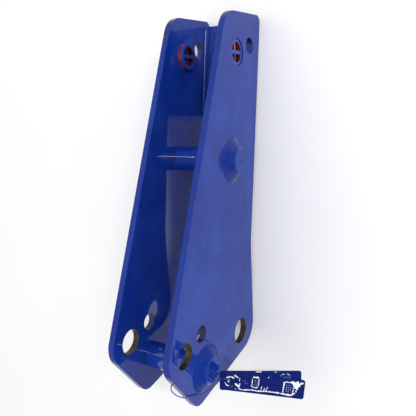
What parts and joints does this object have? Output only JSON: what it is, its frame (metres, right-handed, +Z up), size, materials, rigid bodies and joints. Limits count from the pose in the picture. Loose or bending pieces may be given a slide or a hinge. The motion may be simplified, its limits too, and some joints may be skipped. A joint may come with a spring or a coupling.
{
  "type": "quick coupler",
  "caption": "Welded quick coupler frame: bored side plates tied by round cross bars and a rear web, with masking plugs in the top bores and strip tags wired on.",
  "frame": {"origin": "on the floor under the middle of the frame, which lies on its rear edges", "axes": "+X along the plates from the toe to the top, +Y across them from the right plate to the left, +Z up from the rear edges to the front edges"},
  "size_m": [0.4812, 0.1953, 0.2137],
  "materials": {
    "plate_paint": "gloss blue paint, bare brownish steel inside the large bores",
    "bar_paint": "gloss blue paint on round bar",
    "weld_paint": "gloss blue paint over a smooth, domed weld bead",
    "tag_paint": "wet-look gloss blue paint over stamped sheet",
    "wire_paint": "gloss blue paint on tie wire",
    "plug_plastic": "orange-red moulded plastic with blue paint on its ends"
  },
  "bodies": {
    "frame": {"left_side_plate": "plate_paint", "right_side_plate": "plate_paint", "rear_web": "plate_paint", "mid_cross_bar": "bar_paint", "lower_cross_bar": "bar_paint", "mid_bar_weld_left": "weld_paint", "mid_bar_weld_right": "weld_paint", "lower_bar_weld_left": "weld_paint", "lower_bar_weld_right": "weld_paint", "web_weld_left": "weld_paint", "web_weld_right": "weld_paint", "front_tag": "tag_paint", "back_tag": "tag_paint", "tag_wire": "wire_paint", "tag_wire_loop": "wire_paint"},
    "left_plug": {"left_bore_plug": "plug_plastic"},
    "right_plug": {"right_bore_plug": "plug_plastic"}
  },
  "joints": [
    {"name": "left_plug_pull", "type": "slide", "parent": "frame", "child": "left_plug", "axis": [0, -1, 0], "range_m": [0, 0.016]},
    {"name": "right_plug_pull", "type": "slide", "parent": "frame", "child": "right_plug", "axis": [0, 1, 0], "range_m": [0, 0.016]}
  ]
}
